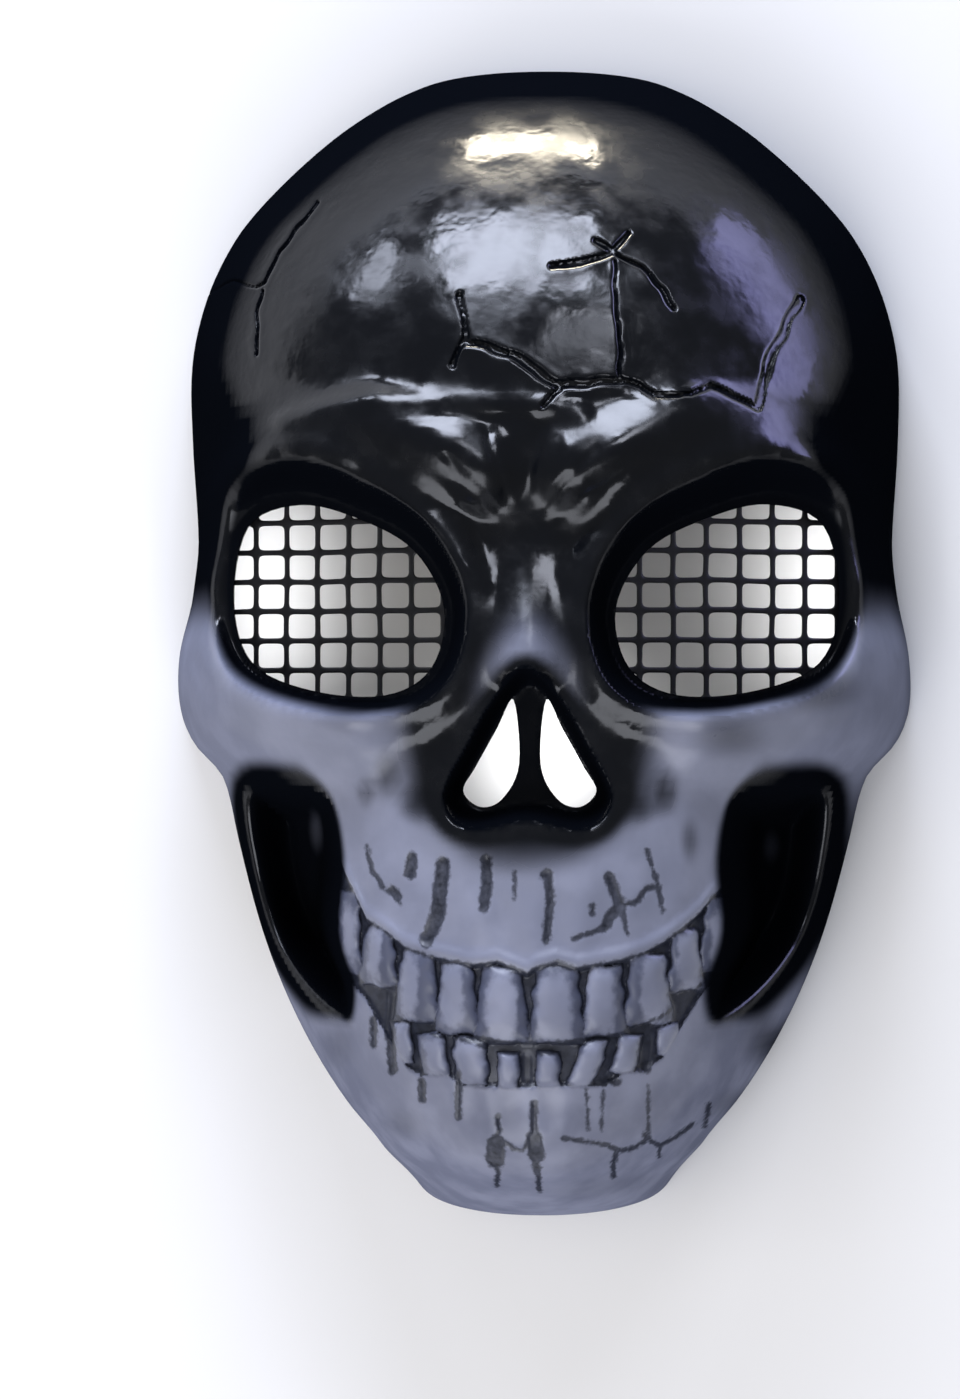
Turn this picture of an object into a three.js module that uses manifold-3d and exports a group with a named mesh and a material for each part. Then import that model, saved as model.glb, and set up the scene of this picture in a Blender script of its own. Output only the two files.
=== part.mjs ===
// A hollow skull mask, lying on its flat rim with the face up, in millimetres.
// +X is to the right as the face is seen, +Y goes to the crown, +Z comes out of the face.
import * as THREE from 'three';
import * as BufferGeometryUtils from 'three/addons/utils/BufferGeometryUtils.js';
import Module from 'manifold-3d';

const wasm = await Module();
wasm.setup();

// Overall sizes.
const faceHeight = 280;
const faceWidth = 180;
const faceDepth = 110;
const wall = 2.2;
const seatGap = 0.3;
const rimBand = 22;

// Brow, temples and cheekbones.
const browUp = 47;
const browReach = 74;
const browBand = 13;
const browRise = 6;
const templeDepth = 7;
const templeOut = 80;
const templeUp = 38;
const templeWide = 30;
const templeTall = 60;
const cheekUp = -22;
const cheekReach = 86;
const cheekBand = 15;
const cheekRise = 7;
const cheekHollowDepth = 34;
const cheekHollowTop = -34;
const cheekHollowTall = 57;
const cheekHollowIn = 40;
const cheekHollowWide = 31;
const hollowSlope = 11;

// Eyes: the openings, the sockets round them and the mesh behind.
const eyeApart = 92;
const eyeUp = 9;
const eyeWide = 52;
const eyeTall = 45;
const socketWide = 65;
const socketTall = 60;
const socketUp = 12;
const socketDepth = 14;
const socketTilt = 0.6;
const socketLand = 1.5;
const socketRimBand = 8;
const socketRimRise = 4;
const meshFlange = 3.5;
const meshBorder = 1.6;
const meshThick = 1.2;
const meshBar = 1.4;
const meshPitchAcross = 7.7;
const meshPitchUp = 7;

// Nose: the bone above, the cavity and the two holes in it.
const nasalTop = 26;
const nasalTip = -7;
const nasalBand = 12;
const nasalRise = 8;
const nasalEnd = 6;
const cavityWide = 40;
const cavityTall = 38;
const cavityDepth = 13;
const cavitySlope = 4;
const nostrilWide = 13;
const nostrilTall = 25;
const nostrilUp = -27;
const septum = 5;

// Mouth, teeth, lower jaw and chin.
const mouthWide = 92;
const mouthUp = -94;
const toothTall = 18;
const toothRise = 2.6;
const jawRise = 5;
const jawBand = 13;
const chinUp = -121;
const chinWide = 54;
const chinTall = 30;
const chinRise = 4;

// Strap slots through the side walls.
const slotLong = 22;
const slotWide = 5.5;
const slotUp = 18;
const slotAboveRim = 12;

// How finely the forms are cut into facets.
const outerColumns = 42;
const outerRows = 56;
const innerColumns = 26;
const innerRows = 34;
const outlineSteps = 2;
const toothSides = 8;
const toothRings = 6;
const toothBoxiness = 0.75;
const gather = 0.15;
const poleShare = 0.9995;

// Sections from the crown down to the chin. up: share of half the height. bulge: half width over
// that of an ellipse of the face's size. front: midline depth as a share of the full depth.
const sections = [
  { up: 1.0, bulge: 1.72, front: 1.0 },
  { up: 0.96, bulge: 1.36, front: 1.0 },
  { up: 0.88, bulge: 1.22, front: 1.0 },
  { up: 0.7, bulge: 1.19, front: 1.0 },
  { up: 0.52, bulge: 1.12, front: 0.99 },
  { up: 0.35, bulge: 1.03, front: 0.95 },
  { up: 0.18, bulge: 0.965, front: 0.88 },
  { up: 0.08, bulge: 0.965, front: 0.88 },
  { up: -0.03, bulge: 0.995, front: 0.9 },
  { up: -0.12, bulge: 1.002, front: 0.91 },
  { up: -0.18, bulge: 0.975, front: 0.91 },
  { up: -0.24, bulge: 0.905, front: 0.92 },
  { up: -0.35, bulge: 0.888, front: 0.93 },
  { up: -0.55, bulge: 0.887, front: 0.95 },
  { up: -0.8, bulge: 0.888, front: 0.97 },
  { up: -0.87, bulge: 0.9, front: 0.97 },
  { up: -0.94, bulge: 1.03, front: 0.96 },
  { up: -1.0, bulge: 1.55, front: 0.95 },
];

// How far round a point the inside looks for the lowest of the outside, and at which rings.
const insideReach = wall + 0.4;
const insideRings = [
  { reach: 0.5, turns: 6 },
  { reach: 1.0, turns: 12 },
];

// Fullness of the curves from the front to the rim: across, up over the crown, down round the chin.
const sideCurve = { power: 2.3, root: 2 };
const crownCurve = { power: 2.0, root: 2 };
const chinCurve = { power: 8.0, root: 2.5 };

// Outline of an eye. out: towards the temple, up: towards the brow, as shares of the half sizes.
const eyeOutline = [
  { out: 0.36, up: 1.0 },
  { out: -0.2, up: 0.84 },
  { out: -0.72, up: 0.5 },
  { out: -1.0, up: -0.1 },
  { out: -0.88, up: -0.72 },
  { out: -0.45, up: -1.0 },
  { out: 0.25, up: -0.95 },
  { out: 0.82, up: -0.66 },
  { out: 1.0, up: -0.02 },
  { out: 0.86, up: 0.78 },
];

// Outline of the nose cavity, a pear, and of one nose hole, a drop. Shares of their half sizes.
const cavityOutline = [
  { out: 0.0, up: 1.0 },
  { out: 0.38, up: 0.62 },
  { out: 0.72, up: 0.0 },
  { out: 1.0, up: -0.62 },
  { out: 0.72, up: -0.98 },
  { out: 0.0, up: -0.86 },
  { out: -0.72, up: -0.98 },
  { out: -1.0, up: -0.62 },
  { out: -0.72, up: 0.0 },
  { out: -0.38, up: 0.62 },
];
const nostrilOutline = [
  { out: -0.8, up: 1.0 },
  { out: -0.2, up: 0.45 },
  { out: 0.55, up: -0.25 },
  { out: 1.0, up: -0.7 },
  { out: 0.4, up: -1.0 },
  { out: -0.4, up: -0.85 },
  { out: -1.0, up: -0.2 },
];

// Outline of a cheek hollow. out: share of its width from its inner side, down: share of its height.
const hollowOutline = [
  { out: 0.2, down: 0.05 },
  { out: 0.55, down: 0.0 },
  { out: 0.97, down: 0.03 },
  { out: 0.96, down: 0.38 },
  { out: 0.8, down: 0.66 },
  { out: 0.5, down: 0.86 },
  { out: 0.1, down: 1.0 },
  { out: 0.0, down: 0.84 },
  { out: 0.12, down: 0.6 },
  { out: 0.08, down: 0.3 },
];

// Courses of the raised ridges, for one side. out: share of the form's reach, up: of half height.
const browCourse = [
  { out: 0.16, up: -0.06 },
  { out: 0.5, up: 0.02 },
  { out: 0.82, up: 0.0 },
  { out: 1.0, up: -0.1 },
  { out: 1.02, up: -0.22 },
];
const cheekCourse = [
  { out: 0.99, up: 0.12 },
  { out: 0.88, up: 0.04 },
  { out: 0.7, up: 0.0 },
  { out: 0.5, up: 0.0 },
];
const jawCourse = [
  { out: 0.78, up: -0.3 },
  { out: 0.74, up: -0.5 },
  { out: 0.62, up: -0.7 },
  { out: 0.4, up: -0.86 },
];

// Teeth of one side from the middle out. at and half: shares of half the mouth's width. top and
// foot: shares of a tooth's height above the middle of the bite.
const upperTeeth = [
  { at: 0.136, half: 0.1, top: 0.96, foot: 0.0 },
  { at: 0.36, half: 0.087, top: 1.0, foot: 0.11 },
  { at: 0.57, half: 0.1, top: 1.18, foot: 0.21 },
  { at: 0.76, half: 0.075, top: 1.45, foot: 0.62 },
  { at: 0.92, half: 0.08, top: 1.95, foot: 0.95 },
];
const lowerTeeth = [
  { at: 0.1, half: 0.06, top: 0.06, foot: -0.55 },
  { at: 0.29, half: 0.09, top: 0.07, foot: -0.55 },
  { at: 0.48, half: 0.085, top: 0.17, foot: -0.46 },
  { at: 0.67, half: 0.075, top: 0.5, foot: -0.2 },
];

const halfHeight = faceHeight / 2;
const halfWidth = faceWidth / 2;
const eyeOut = eyeApart / 2;

const clamp = (value) => Math.min(Math.max(value, 0), 1);
const ease = (value) => clamp(value) ** 2 * (3 - 2 * clamp(value));

// Smooth reading of one column of the section table at a height share.
function readSection(up, column) {
  let row = 1;
  while (row < sections.length - 1 && sections[row].up > up) {
    row += 1;
  }
  const slope = (i) => {
    const above = sections[Math.max(i - 1, 0)];
    const below = sections[Math.min(i + 1, sections.length - 1)];
    return (below[column] - above[column]) / (below.up - above.up);
  };
  const [from, to] = [sections[row - 1], sections[row]];
  const span = to.up - from.up;
  const t = clamp((up - from.up) / span);
  const rise = to[column] - from[column];
  const startBend = slope(row - 1) * span - rise;
  const endBend = slope(row) * span - rise;
  return from[column] + rise * t + t * (1 - t) * (startBend * (1 - t) - endBend * t);
}

// Half the face's width at a height share.
function halfWidthAt(up) {
  return halfWidth * readSection(up, 'bulge') * Math.sqrt(Math.max(1 - up * up, 0));
}

// A closed smooth curve through a table's points, as a list of plan points.
function closedCurve(points, steps) {
  const corners = points.map((p) => new THREE.Vector3(p.x, p.y, 0));
  const curve = new THREE.CatmullRomCurve3(corners, true, 'catmullrom', 0.5);
  return curve.getPoints(points.length * steps).slice(0, -1).map((p) => new THREE.Vector2(p.x, p.y));
}

// An outline table scaled to its half sizes round a middle, for the side with x > 0.
function placeOutline(table, wide, tall, out, up, steps = outlineSteps) {
  const points = table.map((row) => ({ x: out + (row.out * wide) / 2, y: up + (row.up * tall) / 2 }));
  return closedCurve(points, steps);
}

// Distance from a plan point to the nearest of a run of points.
function distanceToRun(x, y, run, closed) {
  let nearest = Infinity;
  const last = closed ? run.length : run.length - 1;
  for (let i = 0; i < last; i += 1) {
    const from = run[i];
    const to = run[(i + 1) % run.length];
    const along = new THREE.Vector2(to.x - from.x, to.y - from.y);
    const share = clamp(((x - from.x) * along.x + (y - from.y) * along.y) / along.lengthSq());
    nearest = Math.min(nearest, Math.hypot(x - from.x - share * along.x, y - from.y - share * along.y));
  }
  return nearest;
}

// Distance to a closed outline, negative inside it.
function distanceToOutline(x, y, outline) {
  let inside = false;
  for (let i = 0, j = outline.length - 1; i < outline.length; j = i, i += 1) {
    const [a, b] = [outline[i], outline[j]];
    if (a.y > y !== b.y > y && x < ((b.x - a.x) * (y - a.y)) / (b.y - a.y) + a.x) {
      inside = !inside;
    }
  }
  return (inside ? -1 : 1) * distanceToRun(x, y, outline, true);
}

// A soft round form: 1 in its middle, 0 at its edge.
const swell = (distance) => (1 - Math.min(distance, 1) ** 2) ** 2;

const placeCourse = (course, reach, up) =>
  course.map((row) => new THREE.Vector2(row.out * reach, up + row.up * halfHeight));

const browRun = placeCourse(browCourse, browReach, browUp);
const cheekRun = placeCourse(cheekCourse, cheekReach, cheekUp);
const jawRun = placeCourse(jawCourse, halfWidth, 0);
const socketOutline = placeOutline(eyeOutline, socketWide, socketTall, eyeOut, socketUp);
const cavityUp = nasalTip - cavityTall / 2;
const nostrilOut = (septum + nostrilWide) / 2;
const nostrilEdge = placeOutline(nostrilOutline, nostrilWide, nostrilTall, nostrilOut, nostrilUp);
const hollowEdge = closedCurve(
  hollowOutline.map((row) => ({
    x: cheekHollowIn + row.out * cheekHollowWide,
    y: cheekHollowTop - row.down * cheekHollowTall,
  })),
  outlineSteps,
);

// The plain domed form before any feature.
function domeDepth(x, y) {
  const up = Math.min(Math.max(y / halfHeight, -1), 1);
  const side = clamp(Math.abs(x) / Math.max(halfWidthAt(up), 1));
  const ends = up > 0 ? crownCurve : chinCurve;
  const alongFall = (1 - Math.abs(up) ** ends.power) ** (1 / ends.root);
  const acrossFall = (1 - side ** sideCurve.power) ** (1 / sideCurve.root);
  return faceDepth * readSection(up, 'front') * alongFall * acrossFall;
}

// The flat floor that an eye opening is cut in, tilted back towards the temple.
const socketFloor = domeDepth(eyeOut, eyeUp) - socketDepth;
const socketFloorAt = (x) => socketFloor - socketTilt * (Math.abs(x) - eyeOut);

// The flat floor of the nose cavity.
const cavityFloor = domeDepth(0, cavityUp) - cavityDepth;

// The outside of the mask over a plan point, without its pits and teeth.
function skinDepth(x, y) {
  const dome = domeDepth(x, y);
  const rimHold = ease(dome / rimBand);
  const out = Math.abs(x);
  const temple = Math.hypot((out - templeOut) / (templeWide / 2), (y - templeUp) / (templeTall / 2));
  let relief = -templeDepth * swell(temple);
  relief += browRise * swell(distanceToRun(out, y, browRun, false) / browBand);
  relief += cheekRise * swell(distanceToRun(out, y, cheekRun, false) / cheekBand);
  relief += jawRise * swell(distanceToRun(out, y, jawRun, false) / jawBand);
  relief += chinRise * swell(Math.hypot(x / (chinWide / 2), (y - chinUp) / (chinTall / 2)));
  relief += socketRimRise * swell(distanceToRun(out, y, socketOutline, true) / socketRimBand);
  const nasalSpan = ease((nasalTop - y) / (nasalTop - nasalTip)) * ease((y - nasalTip) / nasalEnd + 1);
  relief += nasalRise * nasalSpan * swell(out / nasalBand);
  relief -= cheekHollowDepth * ease(-distanceToOutline(out, y, hollowEdge) / hollowSlope);
  return dome + rimHold * relief;
}

// The inside: the wall below the lowest of the outside close by, so that no fold comes through.
function innerDepth(x, y) {
  let lowest = skinDepth(x, y);
  for (const { reach, turns } of insideRings) {
    for (let i = 0; i < turns; i += 1) {
      const angle = (2 * Math.PI * i) / turns;
      const nearX = x + reach * insideReach * Math.cos(angle);
      const nearY = y + reach * insideReach * Math.sin(angle);
      lowest = Math.min(lowest, skinDepth(nearX, nearY));
    }
  }
  return lowest - wall;
}

// A slab over the face's outline with a modelled top and a flat underside.
function faceSlab(columns, rows, inset, depthAt, rimDepth, underside) {
  const box = new THREE.BoxGeometry(2, 2, 2, columns, rows, 1);
  const place = box.attributes.position;
  for (let i = 0; i < place.count; i += 1) {
    const column = place.getX(i);
    const row = place.getY(i);
    const up = row * (1 + gather * (1 - row * row)) * poleShare;
    const side = column * (1 + gather * (1 - column * column));
    const y = (up / poleShare) * (halfHeight - inset);
    const x = side * (halfWidthAt(up) - inset);
    const onRim = Math.max(Math.abs(column), Math.abs(row)) > 1 - 1e-6;
    const top = onRim ? rimDepth : Math.max(depthAt(x, y), rimDepth);
    place.setXYZ(i, x, y, place.getZ(i) > 0 ? top : underside);
  }
  return toSolid(box);
}

// A closed three.js shape as a solid that can be joined and cut.
function toSolid(shape) {
  const bare = shape.clone();
  bare.deleteAttribute('normal');
  bare.deleteAttribute('uv');
  const merged = BufferGeometryUtils.mergeVertices(bare, 1e-4);
  const vertProperties = new Float32Array(merged.attributes.position.array);
  const triVerts = new Uint32Array(merged.index.array);
  return new wasm.Manifold(new wasm.Mesh({ numProp: 3, vertProperties, triVerts }));
}

// An upright prism of an outline on one side of the face, between two depths.
function prism(outline, side, from, to, steps = 1) {
  const shape = new THREE.Shape(outline.map((p) => new THREE.Vector2(p.x * side, p.y)));
  const solid = new THREE.ExtrudeGeometry(shape, { depth: to - from, steps, bevelEnabled: false });
  return solid.translate(0, 0, from);
}

// A pit in the face: its foot outline on its floor, its rim outline on the skin, open above.
function pit(foot, rim, side, floorAt) {
  const solid = prism(foot, side, 0, 2, 2);
  const place = solid.attributes.position;
  for (let i = 0; i < place.count; i += 1) {
    const [x, y, level] = [place.getX(i), place.getY(i), Math.round(place.getZ(i))];
    const corner = foot.findIndex((p) => Math.hypot(p.x * side - x, p.y - y) < 1e-4);
    const edge = rim[corner];
    if (level === 0) {
      place.setZ(i, floorAt(x));
    } else {
      const rimDepth = Math.max(skinDepth(edge.x, edge.y), floorAt(edge.x));
      place.setXYZ(i, edge.x * side, edge.y, level === 1 ? rimDepth : 2 * faceDepth);
    }
  }
  return toSolid(solid);
}

// Tilts a prism's ends to lie along the socket floor.
function alongSocketFloor(solid) {
  const place = solid.attributes.position;
  for (let i = 0; i < place.count; i += 1) {
    place.setZ(i, place.getZ(i) + socketFloorAt(place.getX(i)));
  }
  return solid;
}

// The eye opening's outline grown by a margin.
const eyeOutlineGrown = (beyond) =>
  placeOutline(eyeOutline, eyeWide + 2 * beyond, eyeTall + 2 * beyond, eyeOut, eyeUp);

// The two sockets and the nose cavity, or with a lining's thickness their backs inside the mask.
function pits(lining) {
  const rimWide = socketWide + 2 * lining;
  const rimTall = socketTall + 2 * lining;
  const socketRim = placeOutline(eyeOutline, rimWide, rimTall, eyeOut, socketUp);
  const floorAt = (x) => socketFloorAt(x) - lining;
  const socketFoot = eyeOutlineGrown(socketLand + lining);
  const sockets = [-1, 1].map((side) => pit(socketFoot, socketRim, side, floorAt));
  const noseOutline = (beyond) =>
    placeOutline(cavityOutline, cavityWide + 2 * beyond, cavityTall + 2 * beyond, 0, cavityUp);
  const noseFoot = noseOutline(lining - cavitySlope);
  const nose = pit(noseFoot, noseOutline(lining), 1, () => cavityFloor - lining);
  return sockets[0].add(sockets[1]).add(nose);
}

// A tooth: a boxy round lump set on the jaw and turned to its curve.
function toothSolid(tooth, side) {
  const half = (tooth.half * mouthWide) / 2;
  const tall = (toothTall * (tooth.top - tooth.foot)) / 2;
  const x = (side * tooth.at * mouthWide) / 2;
  const y = mouthUp + (toothTall * (tooth.top + tooth.foot)) / 2;
  const acrossSlope = (skinDepth(x + half, y) - skinDepth(x - half, y)) / (2 * half);
  const upSlope = (skinDepth(x, y + tall / 2) - skinDepth(x, y - tall / 2)) / tall;
  const lump = new THREE.SphereGeometry(1, toothSides, toothRings);
  const place = lump.attributes.position;
  for (let i = 0; i < place.count; i += 1) {
    const round = [place.getX(i), place.getY(i), place.getZ(i)];
    place.setXYZ(i, ...round.map((v) => Math.sign(v) * Math.abs(v) ** toothBoxiness));
  }
  lump.scale(half * Math.hypot(1, acrossSlope), tall * Math.hypot(1, upSlope), 2 * toothRise);
  lump.rotateX(Math.atan(upSlope));
  lump.rotateY(-Math.atan(acrossSlope));
  lump.translate(x, y, skinDepth(x, y) - toothRise);
  return toSolid(lump);
}

// The whole moulded face.
function maskShell() {
  const deep = 2 * faceDepth;
  let shell = faceSlab(outerColumns, outerRows, 0, skinDepth, 0, -1);
  for (const side of [-1, 1]) {
    for (const tooth of [...upperTeeth, ...lowerTeeth]) {
      shell = shell.add(toothSolid(tooth, side));
    }
  }
  const hollow = faceSlab(innerColumns, innerRows, wall, innerDepth, -1, -2);
  shell = shell.subtract(pits(0)).subtract(hollow.subtract(pits(wall)));
  for (const side of [-1, 1]) {
    shell = shell.subtract(toSolid(prism(eyeOutlineGrown(0), side, -1, deep)));
    shell = shell.subtract(toSolid(prism(nostrilEdge, side, -1, deep)));
    const seat = prism(eyeOutlineGrown(meshFlange + seatGap), side, -socketFloor, -wall);
    shell = shell.subtract(toSolid(alongSocketFloor(seat)));
    const slot = new THREE.BoxGeometry(halfWidth / 2, slotLong, slotWide);
    slot.translate(side * halfWidthAt(slotUp / halfHeight), slotUp, slotAboveRim);
    shell = shell.subtract(toSolid(slot));
  }
  const belowRim = new THREE.BoxGeometry(2 * faceWidth, 2 * faceHeight, faceDepth);
  return shell.subtract(toSolid(belowRim.translate(0, 0, -faceDepth / 2)));
}

// The mesh behind one eye: a flat sheet with rows of square openings inside a plain border.
function eyeMesh(side) {
  const top = -wall - seatGap;
  const sheet = toSolid(alongSocketFloor(prism(eyeOutlineGrown(meshFlange), side, top - meshThick, top)));
  const netEdge = eyeOutlineGrown(meshFlange - meshBorder);
  const gaps = [];
  const across = Math.ceil(eyeWide / meshPitchAcross);
  const up = Math.ceil(eyeTall / meshPitchUp);
  for (let i = -across; i <= across; i += 1) {
    for (let j = -up; j <= up; j += 1) {
      const x = eyeOut + (i + 0.5) * meshPitchAcross;
      const y = eyeUp + (j + 0.5) * meshPitchUp;
      if (distanceToOutline(x, y, netEdge) < 0) {
        const gap = new THREE.BoxGeometry(meshPitchAcross - meshBar, meshPitchUp - meshBar, 2 * faceDepth);
        gaps.push(toSolid(gap.translate(side * x, y, 0)));
      }
    }
  }
  const net = gaps.reduce((all, gap) => all.add(gap));
  return sheet.subtract(net.intersect(toSolid(prism(netEdge, side, 0, faceDepth))));
}

// A named mesh from a finished solid.
function toMesh(name, solid, material) {
  const { vertProperties, triVerts } = solid.getMesh();
  const shape = new THREE.BufferGeometry();
  shape.setAttribute('position', new THREE.BufferAttribute(vertProperties, 3));
  shape.setIndex(new THREE.BufferAttribute(triVerts, 1));
  shape.computeVertexNormals();
  const mesh = new THREE.Mesh(shape, material);
  mesh.name = name;
  return mesh;
}

// Moulded plastic with a glossy coat, and the black net.
const bonePlastic = () => new THREE.MeshStandardMaterial({ color: 0x8a8fa6, roughness: 0.3, metalness: 0 });
const blackNet = () => new THREE.MeshStandardMaterial({ color: 0x101113, roughness: 0.45, metalness: 0.2 });

const skullMask = new THREE.Group();
skullMask.add(toMesh('mask_shell', maskShell(), bonePlastic()));
skullMask.add(toMesh('eye_mesh_left', eyeMesh(-1), blackNet()));
skullMask.add(toMesh('eye_mesh_right', eyeMesh(1), blackNet()));

export default skullMask;
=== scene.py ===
# %% [markdown]
# # A skull mask, dressed over its solid model
# The real mask is one thin shell of moulded plastic, 28 cm high, with a grid of black net behind
# each eye. Its solid model lies on its flat rim with the face up. This lesson gives it the fine
# forms, the paint and the gloss, and keeps it in the solid model's own place and size.

# %% Frame and units
import math

import bmesh
import bpy
import numpy as np
from mathutils import Matrix, Vector


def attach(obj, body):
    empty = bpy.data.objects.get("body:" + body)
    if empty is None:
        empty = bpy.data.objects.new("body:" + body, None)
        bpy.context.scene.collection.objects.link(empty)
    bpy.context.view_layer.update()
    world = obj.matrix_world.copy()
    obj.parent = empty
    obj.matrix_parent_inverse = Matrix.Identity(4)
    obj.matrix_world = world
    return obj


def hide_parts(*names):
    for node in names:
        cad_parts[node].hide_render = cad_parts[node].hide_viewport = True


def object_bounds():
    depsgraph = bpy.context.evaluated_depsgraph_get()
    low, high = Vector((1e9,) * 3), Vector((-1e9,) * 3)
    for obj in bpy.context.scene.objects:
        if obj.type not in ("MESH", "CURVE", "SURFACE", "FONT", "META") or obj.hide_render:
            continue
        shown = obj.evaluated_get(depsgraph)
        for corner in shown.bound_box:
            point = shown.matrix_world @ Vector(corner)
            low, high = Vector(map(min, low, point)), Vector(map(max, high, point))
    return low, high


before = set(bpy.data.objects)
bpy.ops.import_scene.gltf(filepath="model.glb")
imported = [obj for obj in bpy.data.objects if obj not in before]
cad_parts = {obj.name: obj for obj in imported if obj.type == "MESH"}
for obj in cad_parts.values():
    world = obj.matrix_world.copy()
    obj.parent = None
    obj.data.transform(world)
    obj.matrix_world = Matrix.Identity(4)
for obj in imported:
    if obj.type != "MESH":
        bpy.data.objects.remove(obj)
cad_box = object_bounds()
MM = 0.001
print("solid model, mm:", [[round(value / MM, 1) for value in corner] for corner in cad_box])

# %% [markdown]
# ## The form as a depth over a flat plan
# A mask like this is drawn in clay from the front, so each point of the plan has one depth. That
# makes it easy to sculpt in code: a function says how deep the outside lies at x and y, and a
# grid is moved to it. The big form below has the same sizes as the solid model. All lengths here
# are millimetres, and the mesh is scaled to metres at the end.

# %% Big sizes and the section table
FACE_HEIGHT = 280.0
FACE_WIDTH = 180.0
FACE_DEPTH = 110.0
WALL = 2.2
HALF_HEIGHT = FACE_HEIGHT / 2
HALF_WIDTH = FACE_WIDTH / 2
RIM_BAND = 22.0

# Sections from crown to chin: height share, width over that of an ellipse, depth share.
SECTIONS = np.array([
    (1.0, 1.72, 1.0), (0.96, 1.36, 1.0), (0.88, 1.22, 1.0), (0.7, 1.19, 1.0),
    (0.52, 1.12, 0.99), (0.35, 1.03, 0.95), (0.18, 0.965, 0.88), (0.08, 0.965, 0.88),
    (-0.03, 0.995, 0.9), (-0.12, 1.002, 0.91), (-0.18, 0.975, 0.91), (-0.24, 0.905, 0.92),
    (-0.35, 0.888, 0.93), (-0.55, 0.887, 0.95), (-0.8, 0.888, 0.97), (-0.87, 0.9, 0.97),
    (-0.94, 1.03, 0.96), (-1.0, 1.55, 0.95),
])[::-1]
BULGE, FRONT = 1, 2


def clamp(value):
    return np.clip(value, 0.0, 1.0)


def ease(value):
    """A soft step from 0 to 1."""
    value = clamp(value)
    return value * value * (3 - 2 * value)


def swell(distance):
    """A soft round form: 1 in its middle, 0 at its edge."""
    return (1 - np.minimum(distance, 1.0) ** 2) ** 2


def read_section(up, column):
    """A smooth reading of one column of the section table at a height share."""
    ups, values = SECTIONS[:, 0], SECTIONS[:, column]
    last = len(ups) - 1
    low = np.maximum(np.arange(last + 1) - 1, 0)
    high = np.minimum(np.arange(last + 1) + 1, last)
    slopes = (values[high] - values[low]) / (ups[high] - ups[low])
    row = np.clip(np.searchsorted(ups, up, side="right") - 1, 0, last - 1)
    span = ups[row + 1] - ups[row]
    t = clamp((up - ups[row]) / span)
    rise = values[row + 1] - values[row]
    start, end = slopes[row] * span - rise, slopes[row + 1] * span - rise
    return values[row] + rise * t + t * (1 - t) * (start * (1 - t) - end * t)


def half_width_at(up):
    """Half the face's width at a height share."""
    return HALF_WIDTH * read_section(up, BULGE) * np.sqrt(np.maximum(1 - up * up, 0))


def dome(x, y):
    """The smooth helmet that all forms are set on."""
    up = np.clip(y / HALF_HEIGHT, -1, 1)
    side = clamp(np.abs(x) / np.maximum(half_width_at(up), 1))
    power, root = np.where(up > 0, 2.0, 8.0), np.where(up > 0, 2.0, 2.5)
    rise = (1 - np.abs(up) ** power) ** (1 / root)
    return FACE_DEPTH * read_section(up, FRONT) * rise * (1 - side ** 2.3) ** 0.5


forehead = float(dome(np.array(0.0), np.array(60.0)))
print("depth at the middle of the forehead, mm:", round(forehead, 1))

# %% [markdown]
# ## Outlines and courses
# Sockets, nose, cheek hollows, ridges, cracks and paint strokes are all given by a few points.
# Two distances do the rest: how far a plan point lies from a run of points, and how far from a
# closed outline, negative inside it. A ridge is then a soft swell of the first, and a hollow is
# a soft step of the second.

# %% Distances
FAR, STEPS = 1e3, 6


def closed_curve(points):
    """A closed smooth curve through a few points."""
    p = np.array(points, float)
    before, after, beyond = np.roll(p, 1, 0), np.roll(p, -1, 0), np.roll(p, -2, 0)
    leave, arrive = (after - before) / 2, (beyond - p) / 2
    pieces = []
    for t in np.arange(STEPS) / STEPS:
        bend = (2 * p - 2 * after + leave + arrive) * t**3
        pieces.append(bend + (-3 * p + 3 * after - 2 * leave - arrive) * t**2 + leave * t + p)
    return np.stack(pieces, 1).reshape(-1, 2)


def to_run(x, y, run, closed=False, reach=FAR):
    """Distance from plan points to the nearest of a run of points, or FAR past the reach."""
    run = np.array(run, float)
    near = np.full(np.shape(x), FAR)
    low, high = run.min(0) - reach, run.max(0) + reach
    close = (x > low[0]) & (x < high[0]) & (y > low[1]) & (y < high[1])
    px, py = x[close], y[close]
    best = np.full(px.shape, FAR)
    ends = np.roll(run, -1, 0) if closed else run[1:]
    for start, end in zip(run, ends):
        along = end - start
        share = clamp(((px - start[0]) * along[0] + (py - start[1]) * along[1]) / (along @ along))
        away_x, away_y = px - start[0] - share * along[0], py - start[1] - share * along[1]
        best = np.minimum(best, np.hypot(away_x, away_y))
    near[close] = best
    return near


def to_outline(x, y, outline):
    """Distance to a closed outline, negative inside it."""
    inside = np.zeros(np.shape(x), bool)
    for a, b in zip(outline, np.roll(outline, 1, 0)):
        if a[1] != b[1]:
            edge = (b[0] - a[0]) * (y - a[1]) / (b[1] - a[1]) + a[0]
            inside ^= ((a[1] > y) != (b[1] > y)) & (x < edge)
    return np.where(inside, -1, 1) * to_run(x, y, outline, closed=True)


def placed(table, wide, tall, out, up):
    """An outline table scaled to its sizes round a middle."""
    return closed_curve([(out + a * wide / 2, up + b * tall / 2) for a, b in table])


square = closed_curve([(1, 1), (-1, 1), (-1, -1), (1, -1)])
print("four corners make a smooth outline of", len(square), "points")

# %% [markdown]
# ## Sockets, nose cavity and cheek hollows
# The sockets and the nose cavity are pits with a flat floor, a soft wall and a hole in the floor.
# Each has two outlines, the floor's and the rim's, and its wall runs between them. The outlines
# are tables of shares of their width and height, so a pit can be widened without redrawing it.

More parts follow.
